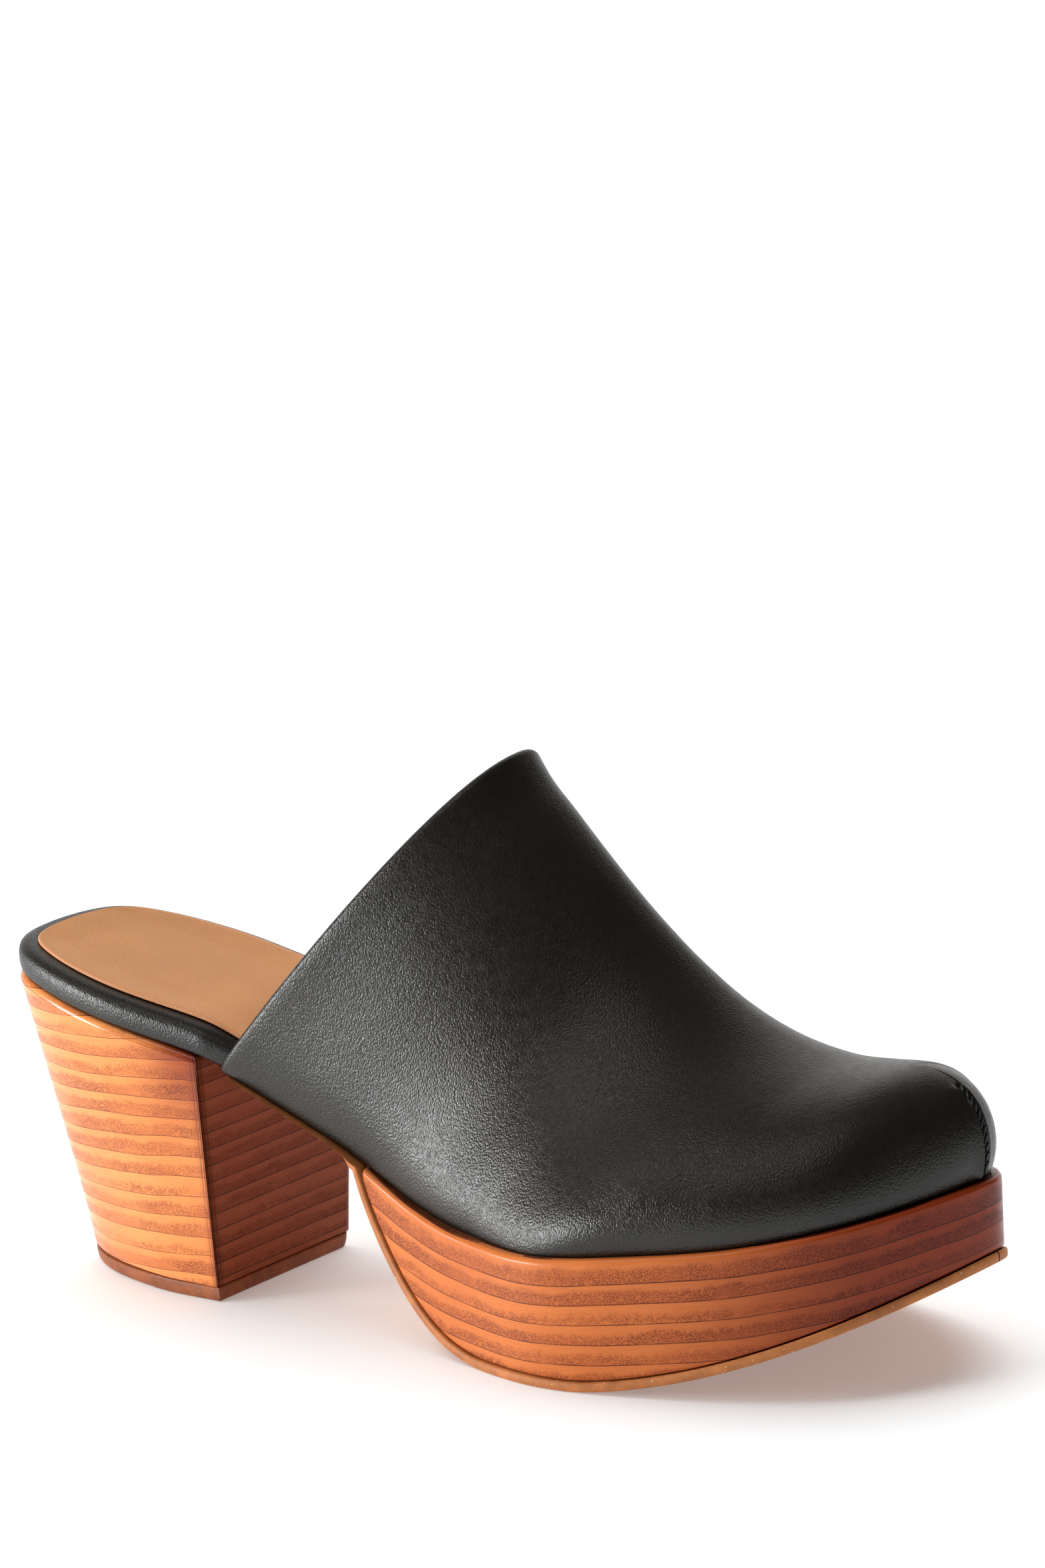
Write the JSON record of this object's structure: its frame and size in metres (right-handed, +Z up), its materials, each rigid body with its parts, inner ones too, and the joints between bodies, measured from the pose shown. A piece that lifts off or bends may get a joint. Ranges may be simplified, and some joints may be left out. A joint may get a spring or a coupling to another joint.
{
  "type": "clog",
  "caption": "Right-foot backless clog: black leather upper over a stacked wood platform and block heel, tan footbed, thin rubber outsole.",
  "frame": {"origin": "on the ground, under the middle of the shoe's box", "axes": "+X towards the toe, +Y towards the inner (medial) side, +Z up"},
  "size_m": [0.2506, 0.0934, 0.1283],
  "materials": {
    "black_leather": "fine grain, satin",
    "lining_leather": "smooth, matt",
    "stiffener": "resin-filled, matt",
    "black_thread": "waxed",
    "tan_leather": "soft grain, satin",
    "foam": "open cell",
    "fibre_board": "pressed, matt",
    "steel": "plain",
    "cork": "granular, matt",
    "core_wood": "sawn, matt",
    "stacked_wood": "stained bands, waxed gloss",
    "breast_wood": "stained bands, satin",
    "tan_rubber": "fine speckle, matt",
    "top_lift_rubber": "matt"
  },
  "bodies": {
    "root": {"upper_leather": "black_leather", "upper_lining": "lining_leather", "toe_puff": "stiffener", "topline_tape": "stiffener", "toe_seam_thread": "black_thread", "sock_lining": "tan_leather", "footbed_foam": "foam", "footbed_wrap": "black_leather", "insole_board": "fibre_board", "shank": "steel", "bottom_filler": "cork", "platform_core": "core_wood", "platform_cover": "stacked_wood", "outsole": "tan_rubber", "heel_core": "core_wood", "heel_side_cover": "stacked_wood", "heel_breast_cover": "breast_wood", "heel_top_lift": "top_lift_rubber", "heel_nail_1": "steel", "heel_nail_2": "steel", "heel_nail_3": "steel", "heel_nail_4": "steel", "heel_screw": "steel", "shank_rivet_rear": "steel", "shank_rivet_front": "steel", "top_lift_pin_1": "steel", "top_lift_pin_2": "steel", "top_lift_pin_3": "steel"}
  },
  "joints": []
}
